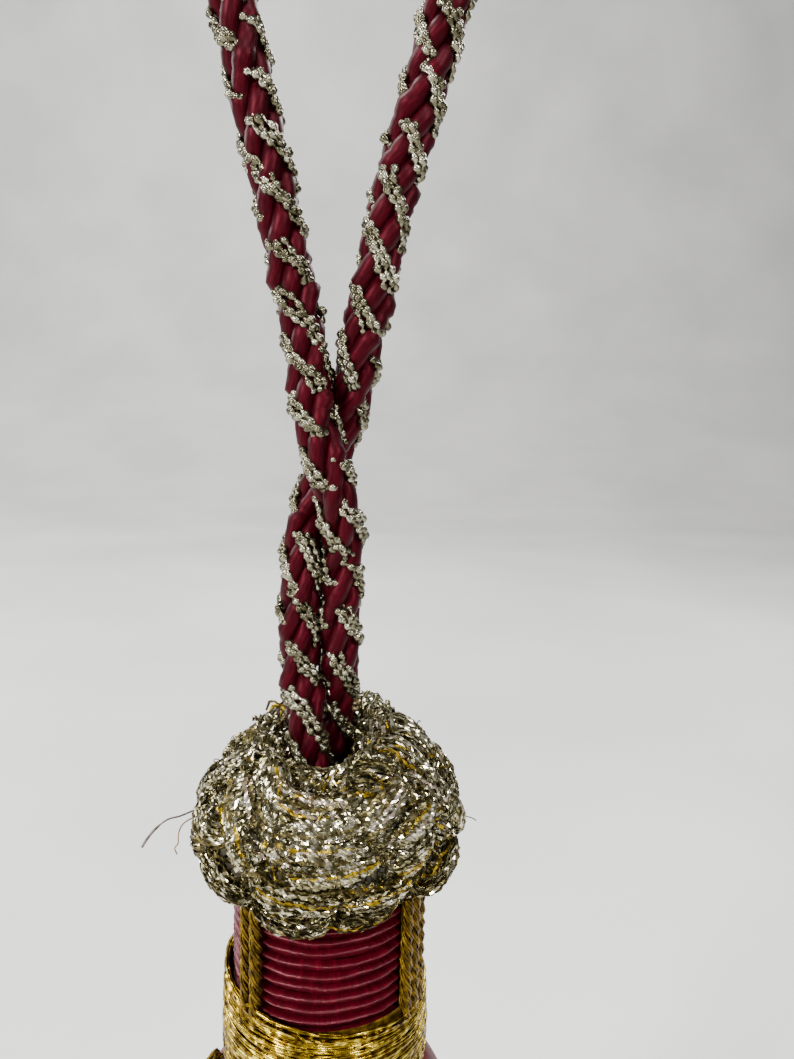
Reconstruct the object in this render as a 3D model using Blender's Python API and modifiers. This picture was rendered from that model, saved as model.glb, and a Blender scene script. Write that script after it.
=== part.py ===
"""A hanging tassel, in metres, with +Z up and the camera's side at -Y.

The origin is the point where the loop hangs, just under its apex. From there down come the braided
loop, the ruff of metal thread, the wound neck with its gold cords and its gold band, the bell with
the shoulder cords, and the skirt. Tables are in millimetres, and every other size is in metres.
Azimuth 0 faces the camera, and it grows towards +X.
"""

import math

import bmesh
import bpy
from mathutils import Vector

MM = 0.001
GAP = 0.3 * MM  # between pieces that touch

# The loop's cord
CORD_RADIUS = 3.2 * MM  # over its lobes
CORD_VALLEY = 2.6 * MM  # between its lobes
CORD_LOBES = 4
CORD_PITCH = 30 * MM
CORD_STEP = 3.2 * MM

# Half of the loop, from its apex to a foot in the ruff. The other half is its half turn about the
# pair's middle line. Columns: height, across from the middle line, towards the camera, middle line.
HALF_LOOP = (
    (3.1, 0.0, 0.0, 0.0),
    (1.1, 9.1, 0.0, 0.0),
    (-4.6, 16.5, 0.0, 0.0),
    (-12.8, 20.8, 0.0, 0.0),
    (-21.4, 21.2, 0.0, 0.0),
    (-36.0, 17.9, 0.0, 0.1),
    (-51.0, 14.2, 0.0, 0.2),
    (-61.5, 11.6, 0.0, 0.0),
    (-72.5, 8.7, 0.0, -0.2),
    (-81.0, 6.9, 0.0, -0.2),
    (-89.0, 5.2, 0.1, -0.1),
    (-97.0, 3.6, 0.6, -0.2),
    (-104.0, 2.4, 2.35, -0.4),
    (-111.5, 0.0, 3.35, -0.7),
    (-119.0, -2.4, 2.35, -1.0),
    (-126.5, -3.35, 0.0, -1.4),
    (-134.5, -3.35, 0.0, -1.6),
    (-142.5, -3.3, -0.4, -1.6),
    (-150.0, -2.7, -2.0, -1.3),
    (-155.0, -2.35, -2.4, -1.2),
    (-159.9, -2.3, -2.45, -1.2),
)

# The ruff, from the middle of its well over the crest and round to its underside: radius, height.
RUFF_WELL = ((0.0, -160.3), (3.6, -160.3), (6.9, -160.2), (7.0, -156.5))
RUFF_OUTSIDE = (
    (7.4, -153.6),
    (9.2, -152.0),
    (12.0, -152.1),
    (14.8, -154.1),
    (17.2, -157.0),
    (19.1, -160.6),
    (20.4, -164.7),
    (20.8, -168.0),
    (19.9, -171.0),
    (18.0, -172.4),
    (17.6, -174.0),
    (16.9, -175.2),
)
RUFF_UNDERSIDE = ((15.6, -175.1), (14.6, -173.9), (14.5, -172.3), (7.0, -172.3), (0.0, -172.3))
RUFF_RING = 1.7 * MM
RUFF_STEPS = 72
RUFF_SINK = 1.1 * MM  # how far the creases between its bundles lie inside the profile
WELL_OFFSET = -1.2 * MM  # the well follows the loop's legs
WELL_REACH = 13 * MM
WELL_EASE = 0.25  # the power that keeps most of the well's offset flat
WELL_FLOOR = 1 * MM  # the lowest part of the well's wall stays level
SADDLE_DEPTH = 4.5 * MM  # the crest dips in front of the loop
SADDLE_HALF_ANGLE = math.radians(62)
SADDLE_FOOT = -166 * MM
SLUMP = 1.7 * MM  # the crest is lower at the left
SLUMP_AZIMUTH = math.radians(-85)
SLUMP_HALF_ANGLE = math.radians(80)
RELIEF_INNER = 17.4 * MM  # under this radius the underside stays plain

# The ruff's bundles of thread, each a low swelling. The section angle turns about the ruff's core
# ring: 0 faces out, 90 up and 130 into the well. A lean of 0 is level towards growing azimuth, and a
# positive one goes down. Columns: azimuth, section angle, lean, half length, half width, rise.
RUFF_CORE = (12.8, -163.5)  # radius, height
RUFF_LOBES = (
    (-104, 94, 100, 5.5, 2.7, 1.2),
    (-66, 76, 112, 5.5, 2.7, 1.5),
    (-74, 38, 98, 5.0, 2.6, 1.5),
    (-43, 54, 62, 5.5, 2.6, 1.6),
    (-31, 92, 48, 4.5, 2.3, 1.3),
    (0, 108, 0, 5.5, 2.0, 1.6),
    (-7, 80, 5, 6.0, 2.1, 1.3),
    (3, 55, -12, 6.5, 2.4, 1.7),
    (32, 58, -30, 5.5, 2.5, 1.7),
    (33, 94, 42, 5.0, 2.5, 1.5),
    (60, 88, 72, 5.5, 2.7, 1.6),
    (84, 92, 84, 5.5, 2.7, 1.6),
    (112, 98, 96, 5.5, 2.8, 1.6),
    (65, 50, 68, 5.5, 2.6, 1.8),
    (92, 48, 86, 5.5, 2.6, 1.8),
    (46, 25, -20, 5.5, 2.3, 1.7),
    (76, 8, 62, 6.0, 2.5, 1.8),
    (2, 22, 3, 7.0, 2.1, 1.5),
    (-33, 10, 62, 6.0, 2.4, 1.8),
    (-62, 2, 12, 5.5, 2.5, 1.6),
    (8, -7, -14, 7.5, 2.1, 1.6),
    (42, -8, -24, 5.0, 2.1, 1.5),
    (-43, -38, 28, 6.0, 2.9, 1.9),
    (-8, -35, 6, 7.0, 2.3, 1.6),
    (25, -35, -8, 6.0, 2.3, 1.5),
    (58, -34, -42, 6.0, 2.9, 2.2),
    (-13, -66, 4, 6.0, 2.4, 2.2),
    (22, -64, -10, 5.5, 2.1, 1.6),
    (-76, -36, -14, 5.5, 2.6, 1.1),
    (98, -28, 24, 6.0, 2.8, 1.9),
    (-98, 10, 66, 6.0, 2.6, 1.6),
    (106, 12, -40, 6.0, 2.6, 1.7),
    (124, 52, 70, 5.5, 2.8, 1.7),
    (-112, 54, 108, 5.5, 2.7, 1.5),
    (142, 94, 88, 5.5, 2.8, 1.6),
    (172, 96, 80, 5.5, 2.8, 1.6),
    (-158, 96, 96, 5.5, 2.8, 1.6),
    (-130, 96, 104, 5.5, 2.7, 1.4),
    (154, 54, 40, 6.0, 2.6, 1.7),
    (-174, 52, -20, 6.0, 2.6, 1.7),
    (-143, 54, 52, 6.0, 2.6, 1.7),
    (135, 12, 30, 6.0, 2.6, 1.7),
    (165, 14, -24, 6.0, 2.6, 1.7),
    (-162, 12, 26, 6.0, 2.6, 1.7),
    (-130, 10, -34, 6.0, 2.6, 1.7),
    (130, -34, -28, 6.0, 2.8, 1.9),
    (159, -32, 20, 6.0, 2.8, 1.9),
    (-172, -36, -16, 6.0, 2.8, 1.9),
    (-142, -34, 24, 6.0, 2.8, 1.9),
    (-110, -36, -26, 6.0, 2.8, 1.6),
    (118, -66, 6, 6.0, 2.2, 1.5),
    (178, -66, -6, 6.0, 2.2, 1.5),
    (-118, -66, 4, 6.0, 2.2, 1.5),
)

# The neck
NECK_RADIUS = 14.1 * MM
NECK_GROOVE = 13.55 * MM
NECK_TOP = -172.6 * MM
NECK_FOOT = -207.2 * MM
RIB_PITCH = 1.75 * MM
RIB_BROW = 0.4 * MM  # a rib's upper face is this high
RIBS = 12
NECK_STEPS = 32

# The gold cords
GOLD_RADIUS = 0.9 * MM
GOLD_VALLEY = 0.7 * MM
GOLD_LOBES = 3
GOLD_PITCH = 9 * MM
GOLD_STEP = 1.0 * MM
GOLD_SPACING = 2.1 * MM
NECK_CORD_TOP = -175.7 * MM
NECK_CORD_GROUPS = ((-41.5, 2), (63.5, 3), (190, 2))  # azimuth, cords
SHOULDER_GROUPS = ((-84, 2), (36, 2), (156, 2))
SHOULDER_RADIUS = 17 * MM  # where the cords of a group are one spacing apart
SHOULDER_STEP = 1.4 * MM
SHOULDER_PITCH = 11 * MM
SHOULDER_ROUTE = (  # radius, height
    (17.1, -207.3),
    (18.8, -209.4),
    (20.8, -212.7),
    (22.5, -217.0),
    (24.0, -221.9),
    (24.7, -226.6),
)

# The gold band
BAND_INNER = 14.45 * MM
BAND_OUTER = 15.55 * MM
BAND_TOP = -192.4 * MM
BAND_FOOT = -207.4 * MM
BAND_EDGE = 0.45 * MM
BAND_ROWS = 6
BAND_STEPS = 48
BAND_LIFT = 3.8 * MM  # its top edge is higher at the left and behind
BAND_LIFT_AZIMUTH = math.radians(-125)
BAND_LIFT_HALF_ANGLE = math.radians(75)
BAND_FACE = 0.1 * MM  # a point this close to the outer radius is on the band's face
BAND_RIDGE = 0.25 * MM
BAND_RIDGES = 8
BAND_RIDGE_TURNS = 0.35  # of a ridge's spacing, from the band's foot to its top

# The bell: radius, height
BELL_PROFILE = (
    (0.0, -207.5),
    (14.0, -207.5),
    (14.3, -207.9),
    (16.0, -208.1),
    (17.7, -210.0),
    (19.6, -213.2),
    (21.3, -217.4),
    (22.7, -222.2),
    (23.4, -227.0),
    (0.0, -227.0),
)
BELL_STEPS = 36

# The skirt. Its rows of strands fill it to the middle, from the outermost row in: each row's inner
# radius, and how many of the turned shape's steps go to one strand.
SKIRT_TOP = -227.3 * MM
SKIRT_ROOTS = -230.3 * MM
SKIRT_OUTER = 23.0 * MM
SKIRT_ROWS = ((19.2, 1), (15.4, 1), (11.6, 1), (7.8, 2), (4.0, 4), (0.0, 10))
SKIRT_STEPS = 40
SKIRT_LENGTH = 96 * MM
STRAND_GAP = 0.65 * MM
ROOT_TILT = 0.9  # a face whose normal points down by more than this is part of the underside
STRAND_FLARE = (0.07, 0.11)  # how much wider each half of the skirt is at its foot than at its top
STRAND_SWAY = 0.16 * MM
STRAND_UNEVEN = 1.6 * MM
SWAY_TURNS = (7.1, 3.7, 2.3)  # radians from strand to strand: across, to the front and in length

# Materials: base colour (linear), roughness, metallic
CRIMSON = ("crimson_satin", (0.19, 0.008, 0.022, 1.0), 0.42, 0.0)
SILVER_GOLD = ("champagne_thread", (0.52, 0.48, 0.33, 1.0), 0.3, 0.9)
GOLD = ("gold_thread", (0.55, 0.38, 0.06, 1.0), 0.35, 0.9)
FRINGE = ("crimson_fringe", (0.15, 0.006, 0.018, 1.0), 0.6, 0.0)


def material(name, colour, roughness, metallic):
    made = bpy.data.materials.get(name) or bpy.data.materials.new(name)
    made.use_nodes = True
    shader = made.node_tree.nodes["Principled BSDF"]
    shader.inputs["Base Color"].default_value = colour
    shader.inputs["Roughness"].default_value = roughness
    shader.inputs["Metallic"].default_value = metallic
    return made


def add(name, data, finish, collection):
    """A new object with its own finish, in the collection."""
    made = bpy.data.objects.new(name, data)
    made.data.materials.clear()
    made.data.materials.append(material(*finish))
    collection.objects.link(made)
    return made


def radial(azimuth, radius, height):
    """A point from its azimuth in radians, its radius and its height."""
    return Vector((radius * math.sin(azimuth), -radius * math.cos(azimuth), height))


def azimuth_of(point):
    return math.atan2(point.x, -point.y)


def fade(value, reach):
    """1 at nought, falling smoothly to 0 where the value comes to its reach."""
    share = min(1.0, abs(value) / reach)
    return 0.5 + 0.5 * math.cos(math.pi * share)


def smooth(points, per_span=24):
    """A fine line on one smooth curve (Catmull-Rom) through the points."""
    ends = [2 * points[0] - points[1], *points, 2 * points[-1] - points[-2]]
    line = []
    for a, b, c, d in zip(ends, ends[1:], ends[2:], ends[3:]):
        for i in range(per_span):
            t = i / per_span
            line.append(
                0.5 * (2 * b + (c - a) * t + (2 * a - 5 * b + 4 * c - d) * t**2)
                + 0.5 * (3 * b - a - 3 * c + d) * t**3
            )
    return [*line, points[-1]]


def even(line, step):
    """Points about one step apart along a line, with both its ends."""
    along = [0.0]
    for a, b in zip(line, line[1:]):
        along.append(along[-1] + (b - a).length)
    count = max(2, round(along[-1] / step))
    found, i = [], 0
    for k in range(count + 1):
        at = along[-1] * k / count
        while i < len(line) - 2 and along[i + 1] < at:
            i += 1
        share = (at - along[i]) / (along[i + 1] - along[i])
        found.append(line[i].lerp(line[i + 1], min(1.0, share)))
    return found


def in_mm(rows):
    """Rows of radius and height as points at +X."""
    return [Vector((radius * MM, 0, height * MM)) for radius, height in rows]


def turned(name, profile, steps, finish, collection, closed=False):
    """A turned shape: a profile at +X with a Screw modifier."""
    edges = [(i, i + 1) for i in range(len(profile) - 1)]
    if closed:
        edges.append((len(profile) - 1, 0))
    mesh = bpy.data.meshes.new(name)
    mesh.from_pydata(profile, edges, [])
    made = add(name, mesh, finish, collection)
    screw = made.modifiers.new("turn", "SCREW")
    screw.axis = "Z"
    screw.angle = math.tau
    screw.steps = screw.render_steps = steps
    screw.use_merge_vertices = True
    screw.merge_threshold = 0.01 * MM
    screw.use_smooth_shade = True
    return made


def apply_all(made):
    """The object again with its modifiers applied, so that its points can be moved."""
    bpy.context.view_layer.update()
    shaped = made.evaluated_get(bpy.context.evaluated_depsgraph_get())
    plain = made.data
    made.data = bpy.data.meshes.new_from_object(shaped)
    made.modifiers.clear()
    bpy.data.meshes.remove(plain)


def raise_points(made, height):
    """Moves each point of a mesh out along its normal by height(point)."""
    shape = bmesh.new()
    shape.from_mesh(made.data)
    shape.normal_update()
    moves = [(v, v.normal * height(v.co)) for v in shape.verts]
    for v, move in moves:
        v.co += move
    shape.to_mesh(made.data)
    shape.free()


def shift_points(made, move):
    """Moves each point of a mesh by move(point)."""
    for v in made.data.vertices:
        v.co += move(v.co)


def lobed_section(name, outer, valley, lobes, points_a_lobe, guides):
    """A closed outline with rounded lobes, for a rope's bevel."""
    curve = bpy.data.curves.new(name, "CURVE")
    curve.dimensions = "2D"
    spline = curve.splines.new("POLY")
    count = lobes * points_a_lobe
    spline.points.add(count - 1)
    for i in range(count):
        radius = valley if i % points_a_lobe == 0 else outer
        angle = -math.tau * i / count
        spline.points[i].co = (radius * math.cos(angle), radius * math.sin(angle), 0, 1)
    spline.use_cyclic_u = True
    made = bpy.data.objects.new(name, curve)
    made.hide_render = True
    made.display_type = "WIRE"
    guides.objects.link(made)
    return made


def rope(name, route, step, section, pitch, finish, collection):
    """A twisted rope: the section turns once in each pitch along the route."""
    curve = bpy.data.curves.new(name, "CURVE")
    curve.dimensions = "3D"
    curve.bevel_mode = "OBJECT"
    curve.bevel_object = section
    curve.use_fill_caps = True
    points = even(route, step)
    spline = curve.splines.new("POLY")
    spline.points.add(len(points) - 1)
    for i, point in enumerate(points):
        spline.points[i].co = (*point, 1)
        spline.points[i].tilt = math.tau * i * step / pitch
    return add(name, curve, finish, collection)


def loop_route():
    """The loop's centreline, from the foot of one leg over the apex to the foot of the other."""
    first = [
        Vector((middle - across, -front, height)) * MM
        for height, across, front, middle in HALF_LOOP
    ]
    second = [
        Vector((middle + across, front, height)) * MM
        for height, across, front, middle in HALF_LOOP[1:]
    ]
    return smooth([*reversed(first), *second])


def loop(collection, guides):
    section = lobed_section("cord_section", CORD_RADIUS, CORD_VALLEY, CORD_LOBES, 3, guides)
    rope("loop_cord", loop_route(), CORD_STEP, section, CORD_PITCH, CRIMSON, collection)


def ruff_lobes(outside):
    """Each bundle's middle on the plain ruff, its direction, half length, half width and rise."""
    core = Vector((RUFF_CORE[0] * MM, 0, RUFF_CORE[1] * MM))
    angles = [math.atan2(p.z - core.z, p.x - core.x) for p in outside]
    found = []
    for azimuth, angle, lean, half_length, half_width, rise in RUFF_LOBES:
        azimuth, angle, lean = (math.radians(x) for x in (azimuth, angle, lean))
        i = min(range(1, len(outside) - 1), key=lambda i: abs(angles[i] - angle))
        level = Vector((math.cos(azimuth), math.sin(azimuth), 0))
        slope = (outside[i + 1] - outside[i - 1]).normalized()
        down = radial(azimuth, slope.x, slope.z)
        direction = math.cos(lean) * level + math.sin(lean) * down
        middle = radial(azimuth, outside[i].x, outside[i].z)
        found.append((middle, direction, half_length * MM, half_width * MM, rise * MM))
    return found


def ruff(collection):
    fine = smooth(in_mm(RUFF_OUTSIDE))
    profile = [*in_mm(RUFF_WELL), *even(fine, RUFF_RING), *in_mm(RUFF_UNDERSIDE)]
    made = turned("ruff", profile, RUFF_STEPS, SILVER_GOLD, collection)
    apply_all(made)
    bundles = ruff_lobes(fine)
    well_lip = RUFF_OUTSIDE[0][1] * MM

    def relief(point):
        radius = math.hypot(point.x, point.y)
        in_well = radius < RUFF_OUTSIDE[0][0] * MM + GAP and point.z < well_lip + GAP
        if in_well or radius < RELIEF_INNER and point.z < SADDLE_FOOT:
            return 0.0
        best = 0.0
        for middle, direction, half_length, half_width, rise in bundles:
            away = point - middle
            along = away.dot(direction)
            across = (away - along * direction).length
            inside = 1 - (along / half_length) ** 2 - (across / half_width) ** 2
            if inside > 0:
                best = max(best, rise * math.sqrt(inside))
        return best - RUFF_SINK

    def settle(point):
        radius = math.hypot(point.x, point.y)
        move = Vector((0, 0, 0))
        if point.z > SADDLE_FOOT:
            share = min(1.0, (point.z - SADDLE_FOOT) / (well_lip - SADDLE_FOOT))
            on_wall = radius > RUFF_WELL[2][0] * MM - GAP
            if on_wall and point.z > RUFF_WELL[0][1] * MM + WELL_FLOOR:
                azimuth = azimuth_of(point)
                move.z -= SADDLE_DEPTH * share * fade(azimuth, SADDLE_HALF_ANGLE)
                away = math.remainder(azimuth - SLUMP_AZIMUTH, math.tau)
                move.z -= SLUMP * share * fade(away, SLUMP_HALF_ANGLE)
            move.x += WELL_OFFSET * fade(radius, WELL_REACH) ** WELL_EASE
        return move

    raise_points(made, relief)
    shift_points(made, settle)


def neck(collection):
    profile = [Vector((0, 0, NECK_TOP)), Vector((NECK_GROOVE, 0, NECK_TOP))]
    for i in range(RIBS):
        top = NECK_TOP - GAP - i * RIB_PITCH
        profile.append(Vector((NECK_RADIUS, 0, top - RIB_BROW)))
        profile.append(Vector((NECK_GROOVE, 0, top - RIB_PITCH)))
    profile += [Vector((NECK_GROOVE, 0, NECK_FOOT)), Vector((0, 0, NECK_FOOT))]
    turned("neck_winding", profile, NECK_STEPS, CRIMSON, collection)


def band_top(azimuth):
    """The height of the band's top edge."""
    away = math.remainder(azimuth - BAND_LIFT_AZIMUTH, math.tau)
    return BAND_TOP + BAND_LIFT * fade(away, BAND_LIFT_HALF_ANGLE)


def band(collection):
    height = BAND_TOP - BAND_FOOT
    profile = [Vector((BAND_INNER, 0, BAND_TOP)), Vector((BAND_OUTER - BAND_EDGE, 0, BAND_TOP))]
    for i in range(BAND_ROWS + 1):
        z = BAND_TOP - BAND_EDGE - i * (height - 2 * BAND_EDGE) / BAND_ROWS
        profile.append(Vector((BAND_OUTER, 0, z)))
    profile += [Vector((BAND_OUTER - BAND_EDGE, 0, BAND_FOOT)), Vector((BAND_INNER, 0, BAND_FOOT))]
    made = turned("gold_band", profile, BAND_STEPS, GOLD, collection, closed=True)
    apply_all(made)

    def ridges(point):
        if math.hypot(point.x, point.y) < BAND_OUTER - BAND_FACE:
            return 0.0
        azimuth = azimuth_of(point)
        up = (point.z - BAND_FOOT) / height
        lean = 1 if azimuth < 0 else -1
        wave = math.cos(BAND_RIDGES * azimuth + lean * math.tau * BAND_RIDGE_TURNS * up)
        return BAND_RIDGE * abs(wave)

    def lift(point):
        up = (point.z - BAND_FOOT) / height
        return Vector((0, 0, up * (band_top(azimuth_of(point)) - BAND_TOP)))

    raise_points(made, ridges)
    shift_points(made, lift)


def group_azimuths(groups, radius):
    """The azimuth of each cord in groups that stand one spacing apart at a radius."""
    return [
        math.radians(middle) + (i - (count - 1) / 2) * GOLD_SPACING / radius
        for middle, count in groups
        for i in range(count)
    ]


def gold_cords(collection, guides):
    section = lobed_section("gold_section", GOLD_RADIUS, GOLD_VALLEY, GOLD_LOBES, 2, guides)
    radius = NECK_RADIUS + GAP + GOLD_RADIUS
    for i, azimuth in enumerate(group_azimuths(NECK_CORD_GROUPS, radius), 1):
        foot = band_top(azimuth) + BAND_EDGE
        route = [radial(azimuth, radius, NECK_CORD_TOP), radial(azimuth, radius, foot)]
        rope(f"neck_cord_{i}", route, GOLD_STEP, section, GOLD_PITCH, GOLD, collection)
    for i, azimuth in enumerate(group_azimuths(SHOULDER_GROUPS, SHOULDER_RADIUS), 1):
        route = smooth([radial(azimuth, r * MM, z * MM) for r, z in SHOULDER_ROUTE])
        name = f"shoulder_cord_{i}"
        rope(name, route, SHOULDER_STEP, section, SHOULDER_PITCH, GOLD, collection)


def strand_roots(shape):
    """The faces on the skirt's underside that strands grow from, one face for each strand."""
    groups = {}
    for face in shape.faces:
        if face.normal.z > -ROOT_TILT:
            continue
        middle = face.calc_center_median()
        radius = math.hypot(middle.x, middle.y)
        row = next(i for i, (inner, _) in enumerate(SKIRT_ROWS) if radius > inner * MM)
        step = azimuth_of(middle) % math.tau * SKIRT_STEPS / math.tau
        groups.setdefault((row, int(step) // SKIRT_ROWS[row][1]), []).append(face)
    found = []
    for key in sorted(groups):
        merged = bmesh.ops.dissolve_faces(shape, faces=groups[key])["region"]
        found += merged or groups[key]
    return found


def skirt(collection):
    profile = [Vector((0, 0, SKIRT_TOP)), Vector((SKIRT_OUTER, 0, SKIRT_TOP))]
    profile.append(Vector((SKIRT_OUTER, 0, SKIRT_ROOTS)))
    profile += [Vector((inner * MM, 0, SKIRT_ROOTS)) for inner, _ in SKIRT_ROWS]
    made = turned("skirt", profile, SKIRT_STEPS, FRINGE, collection)
    apply_all(made)
    shape = bmesh.new()
    shape.from_mesh(made.data)
    shape.normal_update()
    faces = strand_roots(shape)
    bmesh.ops.inset_individual(shape, faces=faces, thickness=STRAND_GAP / 2)
    across, front, length = SWAY_TURNS
    for flare in STRAND_FLARE:
        faces = bmesh.ops.extrude_discrete_faces(shape, faces=faces)["faces"]
        for i, face in enumerate(faces):
            middle = face.calc_center_median()
            sway = Vector((math.sin(across * i), math.cos(front * i), 0)) * STRAND_SWAY
            drop = SKIRT_LENGTH / 2 + STRAND_UNEVEN * math.sin(length * i)
            outward = Vector((middle.x, middle.y, 0)) * flare
            bmesh.ops.translate(
                shape, verts=face.verts[:], vec=outward + sway - Vector((0, 0, drop))
            )
    shape.to_mesh(made.data)
    shape.free()


def build():
    for old in list(bpy.data.objects):
        bpy.data.objects.remove(old)
    collection = bpy.data.collections.new("tassel")
    guides = bpy.data.collections.new("guides")
    bpy.context.scene.collection.children.link(collection)
    bpy.context.scene.collection.children.link(guides)
    loop(collection, guides)
    ruff(collection)
    neck(collection)
    gold_cords(collection, guides)
    band(collection)
    turned("bell", in_mm(BELL_PROFILE), BELL_STEPS, CRIMSON, collection)
    skirt(collection)


build()
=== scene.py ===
"""The tassel's looks: yarns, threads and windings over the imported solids.

Tables and the ruff's sizes are in millimetres in the row frame, and what has MM in it or goes to
Blender is in metres. Azimuth 0 faces the camera, and it grows towards +X.
"""

import math

import bpy
import numpy as np
from mathutils import Matrix, Vector


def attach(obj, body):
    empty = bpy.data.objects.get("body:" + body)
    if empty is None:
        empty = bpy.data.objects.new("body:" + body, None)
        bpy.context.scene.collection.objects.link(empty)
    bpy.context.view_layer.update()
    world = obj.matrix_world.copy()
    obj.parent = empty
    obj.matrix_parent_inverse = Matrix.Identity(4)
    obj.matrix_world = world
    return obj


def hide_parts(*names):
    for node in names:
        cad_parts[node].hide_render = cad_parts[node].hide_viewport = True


MM = 0.001
TAU = math.tau
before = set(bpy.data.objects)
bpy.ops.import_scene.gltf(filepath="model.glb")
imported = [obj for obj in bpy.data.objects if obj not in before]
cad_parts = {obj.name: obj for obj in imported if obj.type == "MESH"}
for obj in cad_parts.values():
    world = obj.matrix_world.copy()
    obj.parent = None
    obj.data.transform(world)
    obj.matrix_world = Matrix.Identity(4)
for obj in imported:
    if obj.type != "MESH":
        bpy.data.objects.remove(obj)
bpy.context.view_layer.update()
rng = np.random.default_rng(11)

# The loop, as in part.py: height, across from the middle line, towards the camera, middle line
HALF_LOOP = (
    (3.1, 0.0, 0.0, 0.0),
    (1.1, 9.1, 0.0, 0.0),
    (-4.6, 16.5, 0.0, 0.0),
    (-12.8, 20.8, 0.0, 0.0),
    (-21.4, 21.2, 0.0, 0.0),
    (-36.0, 17.9, 0.0, 0.1),
    (-51.0, 14.2, 0.0, 0.2),
    (-61.5, 11.6, 0.0, 0.0),
    (-72.5, 8.7, 0.0, -0.2),
    (-81.0, 6.9, 0.0, -0.2),
    (-89.0, 5.2, 0.1, -0.1),
    (-97.0, 3.6, 0.6, -0.2),
    (-104.0, 2.4, 2.35, -0.4),
    (-111.5, 0.0, 3.35, -0.7),
    (-119.0, -2.4, 2.35, -1.0),
    (-126.5, -3.35, 0.0, -1.4),
    (-134.5, -3.35, 0.0, -1.6),
    (-142.5, -3.3, -0.4, -1.6),
    (-150.0, -2.7, -2.0, -1.3),
    (-155.0, -2.35, -2.4, -1.2),
    (-159.9, -2.3, -2.45, -1.2),
)
WELL_MOUTH = -0.145  # below it the legs turn about each other
LEG_OFFSET = 3.35 * MM  # from the middle between the legs to either one
# The legs press on each other below their crossing: heights, and the share of their offset there
SQUEEZE_HEIGHTS, SQUEEZE = (-0.16, WELL_MOUTH, -0.1201, -0.12), (0.45, 0.9, 0.91, 1.0)

# The braid: the number of strands of each colour, which turn opposite ways, and the pitch of each
CRIMSON_STRANDS, CRIMSON_PITCH = 4, 30 * MM
SILVER_STRANDS, SILVER_PITCH = 3, 26 * MM
CRIMSON_OUT, CRIMSON_RADIUS = 1.83, 1.47  # a strand's distance from the middle, and its radius
PRESSED_IN, PRESSED_THIN = 0.46, 0.2  # what both lose under a silver strand
SILVER_OUT, SILVER_RISE, GROOVE = 2.35, 0.6, 0.12  # silver's distance, and how it rises and dips
BEAD_ROWS = ((-0.85, 0.0), (0.0, 0.25), (0.85, 0.0))  # sideways and up on a silver strand
BEAD_RADIUS, BEAD_PITCH = 0.66 * MM, 1.4 * MM
DIP_PITCH, SLOW_DIP_PITCH = 7.7 * MM, 19 * MM  # how often silver goes under crimson

# The ruff's kinds of thread, in the order of its materials
CHAMPAGNE, YELLOW, OLIVE, PALE, GOLDEN_BROWN, GREY_BROWN = range(6)
USUAL_KINDS = (0.75, 0.04, 0.17, 0.04)  # the share of each of the first four
# On the ruff's underside a larger share of dark olive threads is painted shade
UNDERSIDE_SHADE_KINDS = (0.58, 0.05, 0.34, 0.03)  # the same on the ruff's underside
BUNDLE_LAYERS, LAYER_THREADS = 2, 10
GROUND_THREADS, WELL_THREADS, WIRES = 2900, 620, 60
PLASTIC = 0.7548776662  # its multiples and those of its square spread points evenly

# Threads that have come loose from the ruff: points, half thickness, width over thickness and kind
LOOSE_THREADS = (
    (
        ((-19.4, -3, -164.4), (-20.5, -4, -164.6), (-21.8, -5, -164.8), (-23.4, -6, -164.9),
         (-24.9, -7, -165.9), (-26.1, -7.5, -167.4), (-26.6, -8, -168.3)), 0.14, 1.6, GREY_BROWN,
    ),
    (
        ((-19.6, -3.5, -165.4), (-21.2, -5, -165.9), (-21.7, -6, -166.9), (-21.7, -6.5, -168.3),
         (-22.2, -6.5, -169.1), (-22, -6, -170.3)), 0.11, 1.0, GOLDEN_BROWN,
    ),
    (
        ((5.5, 1.2, -151.4), (5.9, 1, -149.5), (6.8, 1, -148.2), (6.7, 1, -147.3), (6.0, 1, -146.8),
         (5.4, 1, -147.4), (4.9, 1, -148.6), (5.3, 1.2, -151.0)), 0.09, 3.2, CHAMPAGNE,
    ),
)  # fmt: skip

# The ruff, as in part.py: radius and height of its profile, its core ring, and its bundles by
# azimuth, section angle, lean, half length, half width and rise
RUFF_PROFILE = (
    (6.9, -160.2),
    (7.0, -156.5),
    (7.4, -153.6),
    (9.2, -152.0),
    (12.0, -152.1),
    (14.8, -154.1),
    (17.2, -157.0),
    (19.1, -160.6),
    (20.4, -164.7),
    (20.8, -168.0),
    (19.9, -171.0),
    (18.0, -172.4),
    (17.6, -174.0),
    (16.9, -175.2),
    (15.6, -175.1),
    (14.6, -173.9),
)
RUFF_CORE = (12.8, -163.5)
RUFF_SINK = 1.1  # how far the creases between its bundles lie inside the profile
CREASED = 2.2  # the section angle up to which the ruff has creases, short of the well's wall
SADDLE_DEPTH, SADDLE_HALF_ANGLE = 4.5, math.radians(62)  # the crest dips in front of the loop
SADDLE_FOOT, SADDLE_HEIGHT = -166, 12.4
SLUMP, SLUMP_HALF_ANGLE = 1.7, math.radians(80)  # the crest is lower at the left
SLUMP_AZIMUTH = math.radians(-85)
SETTLED = 2.5  # the section angle up to which dip and slump reach
WELL_OFFSET, WELL_REACH, WELL_EASE = -1.2, 13, 0.25  # the well follows the loop's legs
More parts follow.
